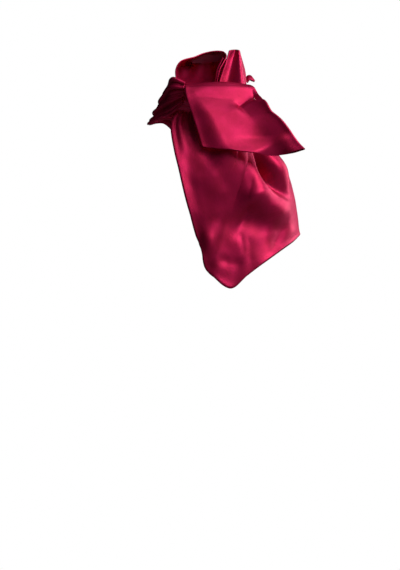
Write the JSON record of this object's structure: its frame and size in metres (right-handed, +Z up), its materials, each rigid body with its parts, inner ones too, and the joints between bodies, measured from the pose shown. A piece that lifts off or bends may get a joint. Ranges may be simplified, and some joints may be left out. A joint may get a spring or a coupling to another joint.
{
  "type": "satin headband",
  "caption": "Wide knotted satin headband in its worn form: band round the back of the head, tied over the crown, with a broad side flap, an open loop and a standing fold.",
  "frame": {"origin": "crown of the head, the highest point of the head that wears the band", "axes": "+Z up, the wearer faces -Y, +X towards the wearer's left side, where the flap hangs"},
  "size_m": [0.1666, 0.1603, 0.2497],
  "materials": {
    "satin": "smooth wine-red satin with a pink sheen"
  },
  "bodies": {
    "root": {"head_band": "satin", "knot": "satin", "side_flap": "satin", "crown_loop": "satin", "standing_fold": "satin", "tail_tip": "satin"}
  },
  "joints": []
}
